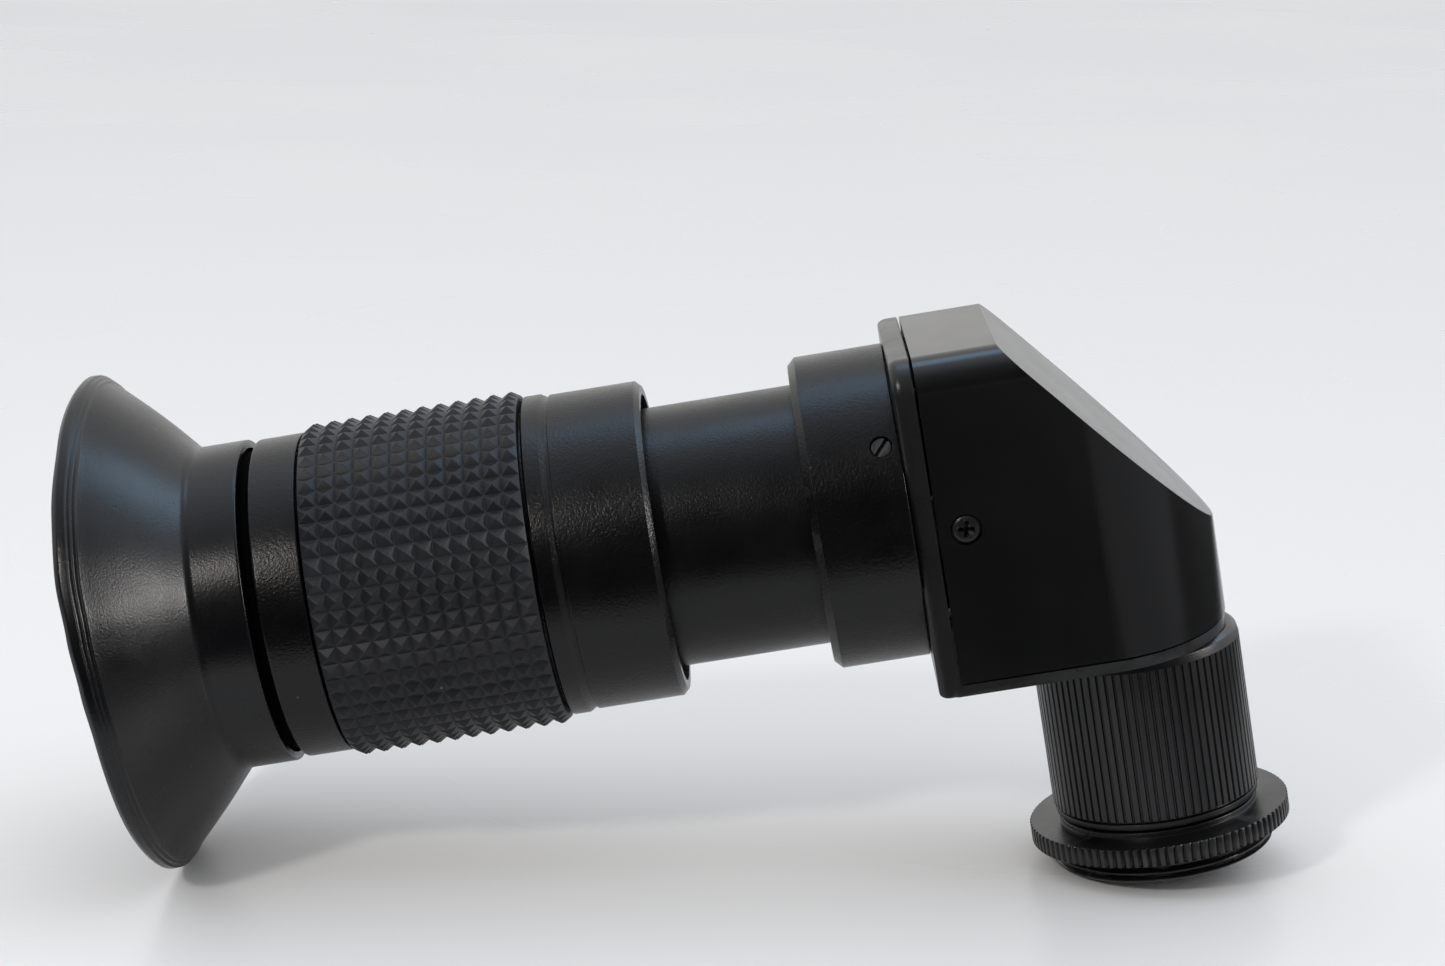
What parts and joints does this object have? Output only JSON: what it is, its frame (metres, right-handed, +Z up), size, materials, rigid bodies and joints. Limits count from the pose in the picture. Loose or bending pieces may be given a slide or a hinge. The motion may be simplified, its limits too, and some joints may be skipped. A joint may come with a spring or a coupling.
{
  "type": "right-angle viewfinder attachment",
  "caption": "Right-angle viewfinder attachment with prism housing, focusing eyepiece barrel, flared rubber eyecup and swivelling threaded mount.",
  "frame": {"origin": "middle of the overall box at table level, with the object resting on its eyecup rim and mount thread", "axes": "+Z up from the table, +X from the eyecup towards the mount, +Y from the side with the visible screws towards the other side"},
  "size_m": [0.1206, 0.0496, 0.0549],
  "materials": {
    "chassis_anodised": "black anodised, satin, softly rounded edges",
    "cover_paint": "semi-gloss black lacquer",
    "barrel_anodised": "black anodised with a fine sparkling grain",
    "tube_anodised": "fine bead-blasted black anodised",
    "sleeve_anodised": "black anodised with machined ribs",
    "ring_anodised": "black anodised, knurled rim and turned thread",
    "cup_rubber": "smooth satin moulded rubber",
    "grip_rubber": "matt moulded rubber with square pyramids",
    "inner_black": "dead matt optical black",
    "black_steel": "blackened steel",
    "spring_steel": "bright spring steel",
    "optical_glass": "polished coated optical glass"
  },
  "bodies": {
    "housing": {"chassis": "chassis_anodised", "housing_cover": "cover_paint", "cover_screw_near": "black_steel", "cover_screw_far": "black_steel", "prism": "optical_glass", "prism_holder": "inner_black", "prism_clamp_spring": "spring_steel", "holder_screw_near": "black_steel", "holder_screw_far": "black_steel", "collar": "barrel_anodised", "grub_screw_1": "black_steel", "grub_screw_2": "black_steel", "grub_screw_3": "black_steel", "inner_tube": "tube_anodised", "guide_key": "black_steel", "relay_cell": "inner_black", "relay_lens_front": "optical_glass", "relay_spacer": "inner_black", "relay_lens_rear": "optical_glass", "relay_retaining_ring": "black_steel", "swivel_washer": "spring_steel"},
    "eyepiece": {"eyepiece_cell": "inner_black", "field_stop": "inner_black", "field_lens": "optical_glass", "lens_spacer_rear": "inner_black", "middle_lens": "optical_glass", "lens_spacer_front": "inner_black", "eye_lens": "optical_glass", "eye_lens_ring": "barrel_anodised"},
    "focus_ring": {"focus_barrel": "barrel_anodised", "rubber_grip": "grip_rubber", "front_band": "barrel_anodised"},
    "eyecup": {"eyecup": "cup_rubber", "eyecup_ring": "inner_black"},
    "mount_sleeve": {"ribbed_sleeve": "sleeve_anodised", "swivel_clip": "spring_steel", "objective_lens": "optical_glass", "objective_spacer": "inner_black", "objective_rear_lens": "optical_glass", "objective_retaining_ring": "black_steel", "lock_ring_clip": "spring_steel"},
    "lock_ring": {"lock_ring": "ring_anodised"}
  },
  "joints": [
    {"name": "focus_slide", "type": "slide", "parent": "housing", "child": "eyepiece", "axis": [-0.9861, 0, -0.1662], "range_m": [-0.006, 0.002]},
    {"name": "focus_turn", "type": "hinge", "parent": "eyepiece", "child": "focus_ring", "pos_m": [0.04139, 0, 0.04073], "axis": [-0.9861, 0, -0.1662], "range_deg": [-270, 90]},
    {"name": "eyecup_turn", "type": "hinge", "parent": "focus_ring", "child": "eyecup", "pos_m": [0.04139, 0, 0.04073], "axis": [-0.9861, 0, -0.1662], "continuous": true},
    {"name": "mount_swivel", "type": "hinge", "parent": "housing", "child": "mount_sleeve", "pos_m": [0.04139, 0, 0.04073], "axis": [0.1662, 0, -0.9861], "continuous": true},
    {"name": "lock_ring_turn", "type": "hinge", "parent": "mount_sleeve", "child": "lock_ring", "pos_m": [0.04139, 0, 0.04073], "axis": [0.1662, 0, -0.9861], "continuous": true}
  ],
  "couplings": [
    {"joint": "focus_slide", "follows": "focus_turn", "m_per_rad": 0.001273}
  ]
}
